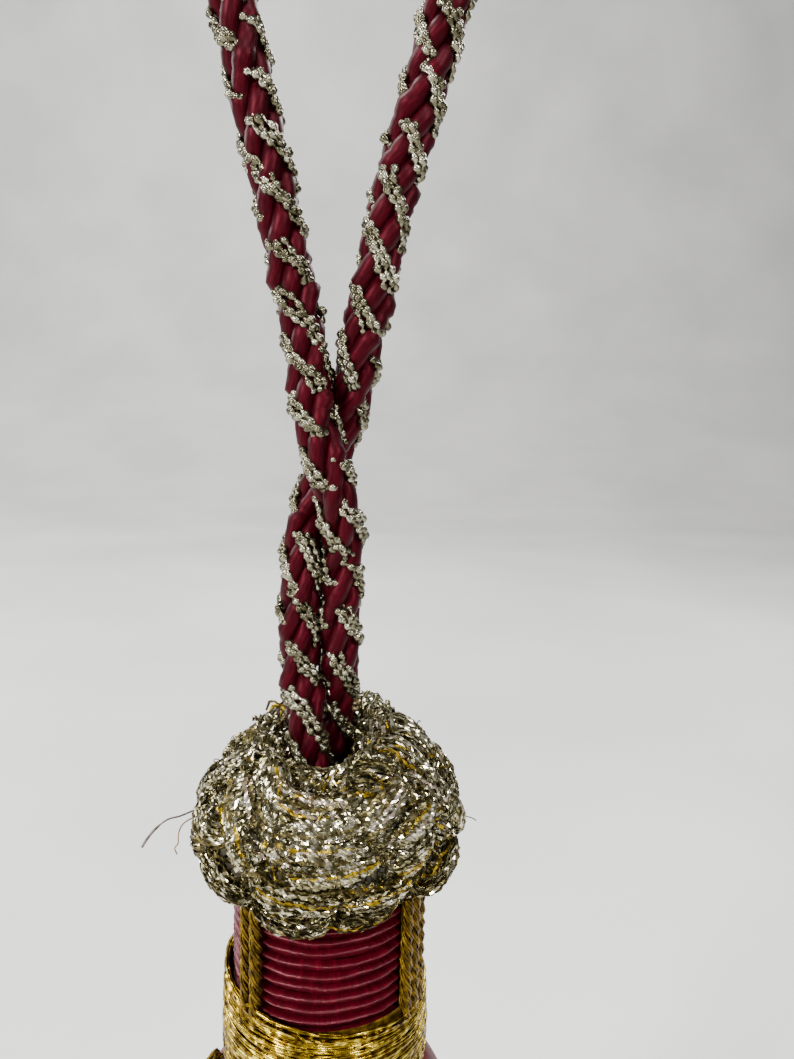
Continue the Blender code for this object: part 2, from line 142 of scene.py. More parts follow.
RUFF_LOBES = (
    (-104, 94, 100, 5.5, 2.7, 1.2),
    (-66, 76, 112, 5.5, 2.7, 1.5),
    (-74, 38, 98, 5.0, 2.6, 1.5),
    (-43, 54, 62, 5.5, 2.6, 1.6),
    (-31, 92, 48, 4.5, 2.3, 1.3),
    (0, 108, 0, 5.5, 2.0, 1.6),
    (-7, 80, 5, 6.0, 2.1, 1.3),
    (3, 55, -12, 6.5, 2.4, 1.7),
    (32, 58, -30, 5.5, 2.5, 1.7),
    (33, 94, 42, 5.0, 2.5, 1.5),
    (60, 88, 72, 5.5, 2.7, 1.6),
    (84, 92, 84, 5.5, 2.7, 1.6),
    (112, 98, 96, 5.5, 2.8, 1.6),
    (65, 50, 68, 5.5, 2.6, 1.8),
    (92, 48, 86, 5.5, 2.6, 1.8),
    (46, 25, -20, 5.5, 2.3, 1.7),
    (76, 8, 62, 6.0, 2.5, 1.8),
    (2, 22, 3, 7.0, 2.1, 1.5),
    (-33, 10, 62, 6.0, 2.4, 1.8),
    (-62, 2, 12, 5.5, 2.5, 1.6),
    (8, -7, -14, 7.5, 2.1, 1.6),
    (42, -8, -24, 5.0, 2.1, 1.5),
    (-43, -38, 28, 6.0, 2.9, 1.9),
    (-8, -35, 6, 7.0, 2.3, 1.6),
    (25, -35, -8, 6.0, 2.3, 1.5),
    (58, -34, -42, 6.0, 2.9, 2.2),
    (-13, -66, 4, 6.0, 2.4, 2.2),
    (22, -64, -10, 5.5, 2.1, 1.6),
    (-76, -36, -14, 5.5, 2.6, 1.1),
    (98, -28, 24, 6.0, 2.8, 1.9),
    (-98, 10, 66, 6.0, 2.6, 1.6),
    (106, 12, -40, 6.0, 2.6, 1.7),
    (124, 52, 70, 5.5, 2.8, 1.7),
    (-112, 54, 108, 5.5, 2.7, 1.5),
    (142, 94, 88, 5.5, 2.8, 1.6),
    (172, 96, 80, 5.5, 2.8, 1.6),
    (-158, 96, 96, 5.5, 2.8, 1.6),
    (-130, 96, 104, 5.5, 2.7, 1.4),
    (154, 54, 40, 6.0, 2.6, 1.7),
    (-174, 52, -20, 6.0, 2.6, 1.7),
    (-143, 54, 52, 6.0, 2.6, 1.7),
    (135, 12, 30, 6.0, 2.6, 1.7),
    (165, 14, -24, 6.0, 2.6, 1.7),
    (-162, 12, 26, 6.0, 2.6, 1.7),
    (-130, 10, -34, 6.0, 2.6, 1.7),
    (130, -34, -28, 6.0, 2.8, 1.9),
    (159, -32, 20, 6.0, 2.8, 1.9),
    (-172, -36, -16, 6.0, 2.8, 1.9),
    (-142, -34, 24, 6.0, 2.8, 1.9),
    (-110, -36, -26, 6.0, 2.8, 1.6),
    (118, -66, 6, 6.0, 2.2, 1.5),
    (178, -66, -6, 6.0, 2.2, 1.5),
    (-118, -66, 4, 6.0, 2.2, 1.5),
)

NECK_TOP, NECK_FOOT = -173.0, -207.2
RIB_PITCH = 1.75
# A rib's share of its pitch and radius, with a bright upper edge and a face that slopes in below it
RIB_PROFILE = (
    (0.0, 13.2),
    (0.04, 13.95),
    (0.11, 14.42),
    (0.21, 14.5),
    (0.31, 14.24),
    (0.55, 13.92),
    (0.9, 13.62),
    (1.0, 13.2),
)
RAGGED_OUTSIDE = 14.2  # only the edge outside this radius is ragged

# The gold cords stand in groups: a group's middle azimuth in degrees, and its count
NECK_CORD_GROUPS = ((-41.5, 2), (63.5, 3), (190, 2))
SHOULDER_GROUPS = ((-84, 2), (36, 2), (156, 2))
CORD_SPACING = 2.1
GOLD_RADIUS, GOLD_PITCH = 0.98 * MM, 6.5 * MM
PLIES, FILAMENTS = 3, 5
NECK_CORD_HEIGHTS, NECK_CORD_RADIUS = (-174.6, -193.5), 15.15
SHOULDER_ROUTE = (
    (17.1, -207.3),
    (18.8, -209.4),
    (20.8, -212.7),
    (22.5, -217.0),
    (24.0, -221.9),
    (24.7, -226.6),
)
BELL_PROFILE = (
    (13.9, -207.4),
    (16.0, -208.0),
    (17.7, -209.9),
    (19.6, -213.1),
    (21.3, -217.3),
    (22.7, -222.1),
    (23.4, -226.9),
    (22.4, -227.2),
)

BAND_THREADS, BAND_COLUMNS = 110, 140
BAND_FOOT, BAND_LOWEST, BAND_TOP = -207.0, -207.3, -188.8
BAND_RISE_AZIMUTH = math.radians(-108)  # where the band's slanted threads lie highest
FRINGE_YARNS = 900
FRINGE_TOP, FRINGE_LENGTH, FRINGE_FOOT = -226.6, 99.5, -328.9
# The fringe's cap under the bell, from its upper middle round to its lower one: share of the
# radius, and height
CAP_RADIUS = 22.9
CAP_ROWS = ((0.02, -227.4), (1.0, -227.4), (1.0, -230.3), (0.02, -230.3))


def linear(rgb):
    """A colour from its display values of 0 to 255."""
    c = np.asarray(rgb) / 255
    return (*np.where(c <= 0.04045, c / 12.92, ((c + 0.055) / 1.055) ** 2.4), 1.0)


def finish(name, colours, roughness, metallic=0.0, grain=(900, 900, 60), bump=0.3, **sockets):
    """A procedural material. Its noise runs along a yarn's own length, or across the object where
    grain is one number."""
    made = bpy.data.materials.new(name)
    made.use_nodes = True
    nodes, links = made.node_tree.nodes, made.node_tree.links
    shader = nodes["Principled BSDF"]
    if isinstance(grain, tuple):
        where = nodes.new("ShaderNodeAttribute")
        where.attribute_name = "strand"
        place = where.outputs["Vector"]
    else:
        place = nodes.new("ShaderNodeTexCoord").outputs["Object"]
        grain = (grain,) * 3
    mapping = nodes.new("ShaderNodeMapping")
    mapping.inputs["Scale"].default_value = grain
    links.new(place, mapping.inputs["Vector"])
    noise = nodes.new("ShaderNodeTexNoise")
    noise.inputs["Scale"].default_value = 1.0
    noise.inputs["Detail"].default_value = 3.0
    links.new(mapping.outputs["Vector"], noise.inputs["Vector"])
    # Nearly all of the noise's values lie in this middle range
    ramp = nodes.new("ShaderNodeValToRGB")
    ramp.color_ramp.elements[0].position = 0.32
    ramp.color_ramp.elements[0].color = linear(colours[0])
    ramp.color_ramp.elements[1].position = 0.68
    ramp.color_ramp.elements[1].color = linear(colours[-1])
    for i, colour in enumerate(colours[1:-1], 1):
        stop = ramp.color_ramp.elements.new(0.32 + 0.36 * i / (len(colours) - 1))
        stop.color = linear(colour)
    links.new(noise.outputs["Fac"], ramp.inputs["Fac"])
    links.new(ramp.outputs["Color"], shader.inputs["Base Color"])
    relief = nodes.new("ShaderNodeBump")
    relief.inputs["Strength"].default_value = bump
    relief.inputs["Distance"].default_value = 0.1 * MM
    links.new(noise.outputs["Fac"], relief.inputs["Height"])
    links.new(relief.outputs["Normal"], shader.inputs["Normal"])
    shader.inputs["Roughness"].default_value = roughness
    shader.inputs["Metallic"].default_value = metallic
    for key, value in sockets.items():
        shader.inputs[key.replace("_", " ")].default_value = value
    return made


def unit(vectors):
    return vectors / np.linalg.norm(vectors, axis=-1, keepdims=True)


def smooth(points, per_span=24):
    """A fine line on one smooth curve (Catmull-Rom) through the points."""
    p = np.asarray(points, float)
    ends = np.vstack((2 * p[0] - p[1], p, 2 * p[-1] - p[-2]))
    t = np.arange(per_span)[:, None] / per_span
    spans = [
        0.5 * (2 * b + (c - a) * t + (2 * a - 5 * b + 4 * c - d) * t**2)
        + 0.5 * (3 * b - a - 3 * c + d) * t**3
        for a, b, c, d in zip(ends, ends[1:], ends[2:], ends[3:])
    ]
    return np.vstack((*spans, p[-1:]))


def even(line, step):
    """Points about one step apart along a line, and how far along it each lies."""
    gone = np.concatenate(([0], np.cumsum(np.linalg.norm(np.diff(line, axis=0), axis=1))))
    along = np.linspace(0, gone[-1], max(2, round(gone[-1] / step)) + 1)
    return np.stack([np.interp(along, gone, line[:, k]) for k in range(3)], axis=1), along


def frames(line):
    """Two directions across a line at each point that don't turn about it."""
    ahead = unit(np.gradient(line, axis=0))
    side = unit(np.cross(ahead[0], (0.0, 1.0, 0.0)))
    sides = []
    for t in ahead:
        side = unit(side - side.dot(t) * t)
        sides.append(side)
    sides = np.array(sides)
    return sides, np.cross(ahead, sides)


def wrapped(angle):
    """The same angle between -pi and pi."""
    return np.remainder(angle + math.pi, TAU) - math.pi


def ring(azimuth, radius, height):
    """Points from azimuths in radians, radii and heights."""
    azimuth = np.asarray(azimuth, float)
    flat = np.stack((np.sin(azimuth), -np.cos(azimuth)), axis=-1) * np.asarray(radius)[..., None]
    return np.concatenate((flat, np.broadcast_to(height, azimuth.shape)[..., None]), axis=-1)


def wave(along, length, size):
    """A smooth wander along a line: two sines with phases of their own."""
    a, b = rng.uniform(0, TAU, 2)
    return size * (
        0.6 * np.sin(TAU * along / length + a) + 0.4 * np.sin(TAU * along / (0.43 * length) + b)
    )


class Yarns:
    """Thin tubes and patches that are gathered into one mesh."""

    def __init__(self):
        self.points, self.strand, self.corners = [], [], []
        self.sizes, self.slots, self.smooth = [], [], []
        self.count = 0

    def faces(self, corners, slot, is_smooth):
        rows, size = corners.shape
        self.corners.append(corners.ravel())
        self.sizes.append(np.full(rows, size))
        self.slots.append(np.full(rows, slot))
        self.smooth.append(np.full(rows, is_smooth))

    def tube(
        self, line, radius, sides=3, slot=0, turn=0.0, flat=1.0, normal=None, is_smooth=False,
        closed=False,
    ):  # fmt: skip
        """A tube along a line. The first direction across it points along normal."""
        line = np.asarray(line, float)
        n = len(line)
        if closed:
            ahead = unit(np.roll(line, -1, axis=0) - np.roll(line, 1, axis=0))
        else:
            ahead = unit(np.gradient(line, axis=0))
        if normal is None:
            normal = np.eye(3)[np.argmin(np.abs(ahead.mean(axis=0)))]
        normal = np.broadcast_to(normal, line.shape)
        u = unit(normal - (normal * ahead).sum(axis=1, keepdims=True) * ahead)
        v = np.cross(ahead, u)
        angle = np.broadcast_to(turn, n)[:, None] + np.arange(sides) * TAU / sides
        size = np.broadcast_to(radius, n)[:, None]
        x, y = size * np.cos(angle), size * flat * np.sin(angle)
        spots = line[:, None] + x[..., None] * u[:, None] + y[..., None] * v[:, None]
        gone = np.concatenate(([0], np.cumsum(np.linalg.norm(np.diff(line, axis=0), axis=1))))
        gone = np.broadcast_to((gone + rng.uniform(0, 9))[:, None], x.shape)
        self.points.append(spots.reshape(-1, 3))
        self.strand.append(np.stack((x, y, gone), axis=-1).reshape(-1, 3))
        index = self.count + np.arange(n * sides).reshape(n, sides)
        self.count += n * sides
        after = np.roll(index, -1, axis=1)
        if closed:
            near, far = index, np.roll(index, -1, axis=0)
            after_far = np.roll(after, -1, axis=0)
            quads = np.stack((near, after, after_far, far), axis=-1)
        else:
            quads = np.stack((index[:-1], after[:-1], after[1:], index[1:]), axis=-1)
            self.faces(index[:1, ::-1], slot, is_smooth)
            self.faces(index[-1:], slot, is_smooth)
        self.faces(quads.reshape(-1, 4), slot, is_smooth)

    def patch(self, points, strand, slot=0, is_smooth=True):
        """A grid of points, rows from top to bottom and columns towards growing azimuth."""
        rows, columns = points.shape[:2]
        index = self.count + np.arange(rows * columns).reshape(rows, columns)
        self.count += rows * columns
        self.points.append(points.reshape(-1, 3))
        self.strand.append(strand.reshape(-1, 3))
        quads = np.stack((index[:-1, :-1], index[1:, :-1], index[1:, 1:], index[:-1, 1:]), axis=-1)
        self.faces(quads.reshape(-1, 4), slot, is_smooth)

    def piece(self, name, finishes, slot, *nodes):
        """The object made of all that was laid, which stands for the CAD nodes."""
        sizes = np.concatenate(self.sizes)
        mesh = bpy.data.meshes.new(name)
        mesh.vertices.add(self.count)
        mesh.vertices.foreach_set("co", np.concatenate(self.points).ravel())
        mesh.loops.add(int(sizes.sum()))
        mesh.loops.foreach_set("vertex_index", np.concatenate(self.corners))
        mesh.polygons.add(len(sizes))
        mesh.polygons.foreach_set("loop_start", np.concatenate(([0], np.cumsum(sizes)[:-1])))
        mesh.polygons.foreach_set("material_index", np.concatenate(self.slots))
        mesh.polygons.foreach_set("use_smooth", np.concatenate(self.smooth))
        mesh.update(calc_edges=True)
        strand = mesh.attributes.new("strand", "FLOAT_VECTOR", "POINT")
        strand.data.foreach_set("vector", np.concatenate(self.strand).ravel())
        for made in finishes:
            mesh.materials.append(made)
        made = bpy.data.objects.new(name, mesh)
        bpy.context.scene.collection.objects.link(made)
        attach(made, "root")
        if nodes:
            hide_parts(*nodes)
        return made


def camera():
    data = bpy.data.cameras.new("camera")
    data.sensor_width = 36
    data.lens = 28.05
    data.clip_start = 0.001
    made = bpy.data.objects.new("camera", data)
    bpy.context.scene.collection.objects.link(made)
    tilt = Matrix.Rotation(math.radians(82.5), 4, "X") @ Matrix.Rotation(math.radians(1.3), 4, "Z")
    made.matrix_world = Matrix.Translation(Vector((9.7, -121.6, -105.5)) * MM) @ tilt
    bpy.context.scene.camera = made


def beads(made, line, radius, pitch):
    """A thread of small round beads along a line."""
    girth = (0.25, 0.86, 1.0, 0.86)  # along one bead, as a share of its radius
    spots, _ = even(line, pitch / len(girth))
    many = len(spots) // len(girth) + 1

    def each(values):
        return np.repeat(values, len(girth), axis=0)[: len(spots)]

    spots = spots + each(rng.normal(0, 0.2 * radius, (many, 3)))
    shape = np.resize(girth, len(spots)) * each(rng.uniform(0.8, 1.15, many))
    made.tube(spots, radius * shape, 8, is_smooth=True)


def on_top(angle, along):
    """Where silver lies over crimson on the braid, from -1 for under to 1 for over."""
    hidden = np.cos(angle + TAU * along / DIP_PITCH)
    hidden = hidden + 0.45 * np.cos(2 * angle - TAU * along / SLOW_DIP_PITCH)
    return np.tanh(3 * (0.62 - hidden))


def braid():
    """Crimson strands that turn one way, and beaded silver ones that turn the other over most of
    them and press them down."""
    height, across, front, middle = np.array(HALF_LOOP).T * MM
    squeeze = np.interp(height, SQUEEZE_HEIGHTS, SQUEEZE)
    turned = -np.sqrt(np.maximum(0, LEG_OFFSET**2 - (squeeze * across) ** 2))
    front = np.where(height < WELL_MOUTH, turned, front)
    across = squeeze * across
    first = np.stack((middle - across, -front, height), axis=1)
    second = np.stack((middle + across, front, height), axis=1)
    route = smooth(np.vstack((first[::-1], second[1:])))
    path, along = even(route, 0.25 * MM)
    u, v = frames(path)
    thick = np.interp(path[:, 2], (-0.12, -0.08), (0.93, 1.0))[:, None]
    crimson, silver = Yarns(), Yarns()
    silver_at = [
        TAU * i / SILVER_STRANDS - TAU * along / SILVER_PITCH for i in range(SILVER_STRANDS)
    ]
    thin = slice(None, None, 3)
    for i in range(CRIMSON_STRANDS):
        at = TAU * i / CRIMSON_STRANDS + TAU * along / CRIMSON_PITCH
        outward = np.cos(at)[:, None] * u + np.sin(at)[:, None] * v
        gap = np.min([np.abs(np.sin((at - other) / 2)) for other in silver_at], axis=0) * 6
        pressed = (np.exp(-((gap / 1.3) ** 2)) * on_top(at, along))[:, None]
        line = path + (CRIMSON_OUT - PRESSED_IN * pressed) * thick * MM * outward
        size = ((CRIMSON_RADIUS - PRESSED_THIN * pressed) * thick * MM)[:, 0]
        crimson.tube(line[thin], size[thin], 14, normal=outward[thin], is_smooth=True)
    for at in silver_at:
        outward = np.cos(at)[:, None] * u + np.sin(at)[:, None] * v
        sideways = np.cos(at)[:, None] * v - np.sin(at)[:, None] * u
        top = on_top(at, along)
        groove = np.cos(CRIMSON_STRANDS * (at - TAU * along / CRIMSON_PITCH))
        out = (SILVER_OUT + SILVER_RISE * top + GROOVE * groove) * MM
        heart = path + out[:, None] * thick * outward
        for side, lift in BEAD_ROWS:
            slide = side + wave(along, 11 * MM, 0.3)
            line = heart + slide[:, None] * MM * sideways
            line += (lift + wave(along, 5 * MM, 0.15))[:, None] * MM * outward
            # Silver that lies deep between the crimson strands doesn't show, and isn't made
            shown = top > -0.75
            turns = np.flatnonzero(np.diff(shown)) + 1
            for stretch, is_shown in zip(np.split(line, turns), np.split(shown, turns)):
                if is_shown[0] and len(stretch) > 5:
                    beads(silver, stretch, BEAD_RADIUS, BEAD_PITCH)
    satin = finish(
        "crimson_satin", ((18, 0, 2), (34, 0, 5), (51, 1, 9)), 0.45, 0.0, (3000, 3000, 120), 0.4,
        Specular_IOR_Level=0.25, Specular_Tint=(1.0, 0.15, 0.22, 1.0),
    )  # fmt: skip
    bead = finish(
        "silver_bead", ((62, 58, 41), (104, 99, 79), (158, 154, 134)), 0.22, 0.95, 500, 0.05
    )
    beaded = silver.piece("braid_silver", [bead], "crimson_braid")
    cord = crimson.piece("braid_crimson", [satin], "crimson_braid", "loop_cord")


def fade(value, reach):
    """1 at nought, falling smoothly to 0 where the value comes to its reach."""
    return 0.5 + 0.5 * np.cos(math.pi * np.minimum(1, np.abs(value) / reach))


def on_ruff(azimuth, angle, lift, share_of_rise=1.0):
    """Points on the ruff with its bundles, raised by lift, from azimuths and section angles."""
    profile = np.array(RUFF_PROFILE)[::-1] - RUFF_CORE
    turned = np.arctan2(profile[:, 1], profile[:, 0])
    out = np.interp(angle, turned, np.hypot(*profile.T))
    radius = RUFF_CORE[0] + out * np.cos(angle)
    height = RUFF_CORE[1] + out * np.sin(angle)
    rise = np.zeros_like(out)
    for at, section, lean, half_length, half_width, top in RUFF_LOBES:
        at, section, lean = np.radians((at, section, lean))
        level = wrapped(azimuth - at) * radius
        down = (section - angle) * out
        along = (level * math.cos(lean) + down * math.sin(lean)) / half_length
        across = (level * math.sin(lean) - down * math.cos(lean)) / half_width
        rise = np.maximum(rise, top * np.sqrt(np.clip(1 - along**2 - across**2, 0, 1)))
    out = share_of_rise * rise - RUFF_SINK * (angle < CREASED) + lift
    radius = radius + out * np.cos(angle)
    height = height + out * np.sin(angle)
    share = np.clip((height - SADDLE_FOOT) / SADDLE_HEIGHT, 0, 1) * (angle < SETTLED)
    height = height - SADDLE_DEPTH * share * fade(azimuth, SADDLE_HALF_ANGLE)
    height = height - SLUMP * share * fade(wrapped(azimuth - SLUMP_AZIMUTH), SLUMP_HALF_ANGLE)
    spots = ring(azimuth, radius, height)
    spots[:, 0] += WELL_OFFSET * (height > SADDLE_FOOT) * fade(radius, WELL_REACH) ** WELL_EASE
    return spots * MM


def ruff():
    """Threads over the raised bundles, over the ground between them and round the loop's legs, then
    short wires and the loose threads, all over a dark core whose colour is painted shade."""
    coats = [Yarns() for _ in range(3)]

    def route(azimuth, section, lean, reach, bow, lift, step, wander):
        """A thread's line about a spot on the ruff, and the way up from it. Its lean is in radians,
        and its other sizes are in millimetres. Its ends dive under its neighbours."""
        t = np.linspace(-1, 1, max(5, round(2 * reach / step)))
        along = t * reach
        across = bow * (1 - 0.4 * t**2) + wave(along, 5, wander)
        level = along * math.cos(lean) + across * math.sin(lean)
        down = along * math.sin(lean) - across * math.cos(lean)
        angle = np.clip(section - down / 11.5, -1.38, 2.6)
        at = azimuth + level / np.maximum(7, RUFF_CORE[0] + 10 * np.cos(angle))
        height = lift + wave(along, 3, 0.12) - 1.2 * np.clip(np.abs(t) - 0.8, 0, 1) / 0.2
        return on_ruff(at, angle, height), ring(at, np.cos(angle), np.sin(angle))

    def thread(coat, azimuth, section, lean, reach, bow, lift, size):
        """A strip that catches the light face by face: twisted, or crinkled and lying flat."""
        is_twisted = rng.random() < 0.6
        line, up = route(azimuth, section, lean, reach, bow, lift, 0.55, 0.2)
        count = len(line)
        # Below this section angle the darker mix of threads paints the underside's shade
        kind = int(rng.choice(4, p=UNDERSIDE_SHADE_KINDS if section < -0.25 else USUAL_KINDS))
        width = size * rng.uniform(0.8, 1.15, count)
        if is_twisted:
            turn = rng.uniform(0, TAU) + np.cumsum(rng.uniform(0.5, 1.4, count))
            coat.tube(line, 0.5 * width * MM, 4, slot=kind, turn=turn, flat=2.4, normal=up)
        else:
            line = line + rng.normal(0, 0.06 * MM, (count, 3))
            up = up + rng.normal(0, 0.42, (count, 3))
            coat.tube(line, 0.7 * width * MM, 3, slot=kind, turn=TAU / 6, flat=1.55, normal=up)

    def ribbon(coat, azimuth, section, lean, reach, bow, lift):
        """A flat yellow strip among the threads."""
        line, up = route(azimuth, section, lean, reach, bow, lift, 0.5, 0.4)
        turn = wave(np.linspace(0, 1, len(line)), 0.8, 0.5)
        coat.tube(line, 0.1 * MM, 4, slot=YELLOW, turn=turn, flat=4.2, normal=up, is_smooth=True)

    for i, (azimuth, section, lean, half_length, half_width, _) in enumerate(RUFF_LOBES):
        azimuth, section, lean = np.radians((azimuth, section, lean))
        coat = coats[i % 3]
        for layer in range(BUNDLE_LAYERS):
            for k in range(LAYER_THREADS):
                across = (2 * (k + rng.uniform(0.1, 0.9)) / LAYER_THREADS - 1) * 1.12
                reach = half_length * rng.uniform(0.85, 1.2)
                drift = rng.uniform(-0.12, 0.12)
                lift = -0.35 + 0.35 * layer
                bow = half_width * across
                thread(coat, azimuth, section, lean + drift, reach, bow, lift, 0.31)
        if rng.random() < 0.6:
            bow = rng.uniform(-0.8, 0.8) * half_width
            drift = rng.uniform(-0.3, 0.3)
            ribbon(coat, azimuth, section, lean + drift, rng.uniform(1.4, 3.4), bow, -0.1)
    lobes = np.radians(np.array(RUFF_LOBES)[:, :3])
    for i in range(GROUND_THREADS):
        azimuth = TAU * (i * PLASTIC % 1) - math.pi
        section = 3.8 * (i * PLASTIC**2 % 1) - 1.3
        gap = (wrapped(lobes[:, 0] - azimuth) * 16) ** 2
        nearest = np.argmin(gap + ((lobes[:, 1] - section) * 11) ** 2)
        lean = lobes[nearest, 2] + rng.normal(0, 0.5)
        lift = rng.uniform(-0.9, -0.2)
        thread(coats[i % 3], azimuth, section, lean, rng.uniform(1.8, 4.0), 0, lift, 0.3)
    for i in range(WELL_THREADS):
        # Threads that close the well about the loop's legs
        azimuth, section = rng.uniform(-math.pi, math.pi), rng.uniform(1.75, 2.35)
        lean = rng.normal(0, 0.5)
        lift = rng.uniform(0.2, 1.0 if abs(azimuth) < 1.1 else 2.8)
        thread(coats[i % 3], azimuth, section, lean, rng.uniform(1.5, 3.2), 0, lift, 0.28)
    for i in range(WIRES):
        # Short wires that stand out of the ruff
        azimuth, section = rng.uniform(-math.pi, math.pi), rng.uniform(-0.4, 2.2)
        start = on_ruff(np.array([azimuth]), np.array([section]), -0.5)[0]
        out = ring(np.array([azimuth]), np.cos([section]), np.sin([section]))[0]
        side = rng.normal(0, 1, 3)
        t = np.linspace(0, 1, 7)[:, None]
        line = start + (out * rng.uniform(1.2, 2.0) * np.sin(2.4 * t) + side * 0.9 * t) * MM
        coats[i % 3].tube(line, 0.09 * MM, 4, slot=OLIVE, is_smooth=True)
    for coat, (points, size, flat, kind) in zip(coats, LOOSE_THREADS):
        line = smooth(np.array(points) * MM, 6)
        normal = (0.5, 0.6, 0.6)
        coat.tube(line, size * MM, 6, slot=kind, flat=flat, normal=normal, is_smooth=True)
    metal = [
        finish(name, colours, roughness, metallic, 900, 0.3)
        for name, colours, roughness, metallic in (
            ("champagne_thread", ((68, 62, 34), (142, 134, 99), (238, 232, 210)), 0.1, 0.93),
            ("yellow_thread", ((92, 72, 2), (140, 114, 8), (196, 166, 40)), 0.32, 0.9),
            ("olive_thread", ((44, 37, 14), (76, 66, 32), (112, 102, 62)), 0.3, 0.8),
            ("pale_thread", ((190, 160, 135), (230, 214, 194), (250, 244, 234)), 0.12, 0.9),
            ("golden_brown_thread", ((104, 70, 18), (140, 100, 36), (168, 128, 60)), 0.45, 0.4),
            ("grey_brown_thread", ((52, 42, 36), (84, 72, 64), (110, 98, 88)), 0.5, 0.3),
        )
    ]
    # The core's dark olive is painted shade for the deep gaps between the threads and for the well
    painted_shade_core = finish("ruff_core", ((20, 16, 5), (40, 33, 13), (66, 56, 28)), 0.6, 0.3, 1400, 1.0)
    core = Yarns()
    azimuth, angle = np.meshgrid(np.linspace(-math.pi, math.pi, 181), np.linspace(2.63, -1.39, 70))
    spots = on_ruff(azimuth.ravel(), angle.ravel(), -1.0, 0.5).reshape(*azimuth.shape, 3)
    core.patch(spots, spots)
    for z, r in ((-160.4, 7.4), (-173.9, 14.7)):
        disc = ring(np.linspace(-math.pi, math.pi, 61), np.full(61, r), np.full(61, z))
        rows = np.stack((disc, disc * (0.05, 0.05, 1))) * MM
        core.patch(rows, rows)
    core.piece("ruff_core", [painted_shade_core], "metal_thread", "ruff")
    for i, coat in enumerate(coats, 1):
        coat.piece(f"ruff_threads_{i}", metal, "metal_thread")


def neck():
    """The wound ribs, each a little uneven in height and radius."""
    columns = 180
    azimuth = np.linspace(-math.pi, math.pi, columns + 1)
    made = Yarns()
    ribs = math.ceil((NECK_TOP - NECK_FOOT) / RIB_PITCH)
    for rib in range(ribs):
        wander = wave(azimuth, 1.3, 0.15) + wave(azimuth, 0.31, 0.045) + rng.normal(0, 0.07)
        wander[-1] = wander[0]
        ragged = rng.normal(0, 0.035, columns + 1)
        ragged[-1] = ragged[0]
        rows = []
        for share, radius in RIB_PROFILE:
            z = NECK_TOP - (rib + share) * RIB_PITCH + wander
            out = radius + ragged * (radius > RAGGED_OUTSIDE) + wave(azimuth, 0.9, 0.05)
            rows.append(ring(azimuth, out, np.maximum(z, NECK_FOOT)) * MM)
        shares = np.array(RIB_PROFILE)[:, :1]
        spread = np.broadcast_arrays(azimuth * 14 * MM, shares * RIB_PITCH * MM, rib * 7.3)
        made.patch(np.array(rows), np.stack(spread, axis=-1))
    gimp = finish(
        "crimson_gimp", ((40, 0, 6), (60, 0, 11), (84, 5, 22)), 0.34, 0.0, (2600, 300, 1), 0.4,
        Specular_IOR_Level=0.6, Specular_Tint=(1.0, 0.4, 0.45, 1.0),
    )  # fmt: skip
    made.piece("neck_ribs", [gimp], "crimson_gimp", "neck_winding")


def twisted(made, route):
    """A gold cord of plies, each of fine filaments, laid along a route."""
    line, along = even(route, 0.45 * MM)
    u, v = frames(line)
    for ply in range(PLIES):
        at = TAU * ply / PLIES - TAU * along / GOLD_PITCH
        out = np.cos(at)[:, None] * u + np.sin(at)[:, None] * v
        side = np.cos(at)[:, None] * v - np.sin(at)[:, None] * u
        heart = line + 0.5 * GOLD_RADIUS * out
        for k in range(FILAMENTS):
            turn = TAU * k / FILAMENTS + TAU * along / (2.5 * GOLD_PITCH)
            about = np.cos(turn)[:, None] * out + np.sin(turn)[:, None] * side
            spots = heart + 0.36 * GOLD_RADIUS * about
            made.tube(spots, 0.23 * GOLD_RADIUS, 4, normal=out, is_smooth=True)


def spread_out(groups, radius):
    """The azimuths in radians of cords that stand in groups at a radius."""
    return [
        math.radians(middle) + (i - (count - 1) / 2) * CORD_SPACING / radius
        for middle, count in groups
        for i in range(count)
    ]


def gold_cords():
    gold = finish("gold_thread", ((54, 39, 0), (87, 65, 5), (132, 104, 22)), 0.38, 0.9, 800, 0.2)
    neck_cords, shoulder = Yarns(), Yarns()
    heights = np.array(NECK_CORD_HEIGHTS)
    for azimuth in spread_out(NECK_CORD_GROUPS, 15.3):
        twisted(neck_cords, ring(np.full(2, azimuth), np.full(2, NECK_CORD_RADIUS), heights) * MM)
    radii, heights = np.array(SHOULDER_ROUTE).T
    for azimuth in spread_out(SHOULDER_GROUPS, 17):
        twisted(shoulder, smooth(ring(np.full(len(radii), azimuth), radii, heights)) * MM)
    names = [f"neck_cord_{i}" for i in range(1, 8)]
    neck_cords.piece("neck_gold", [gold], "gold_cord", *names)
    names = [f"shoulder_cord_{i}" for i in range(1, 7)]
    shoulder.piece("shoulder_gold", [gold], "gold_cord", *names)


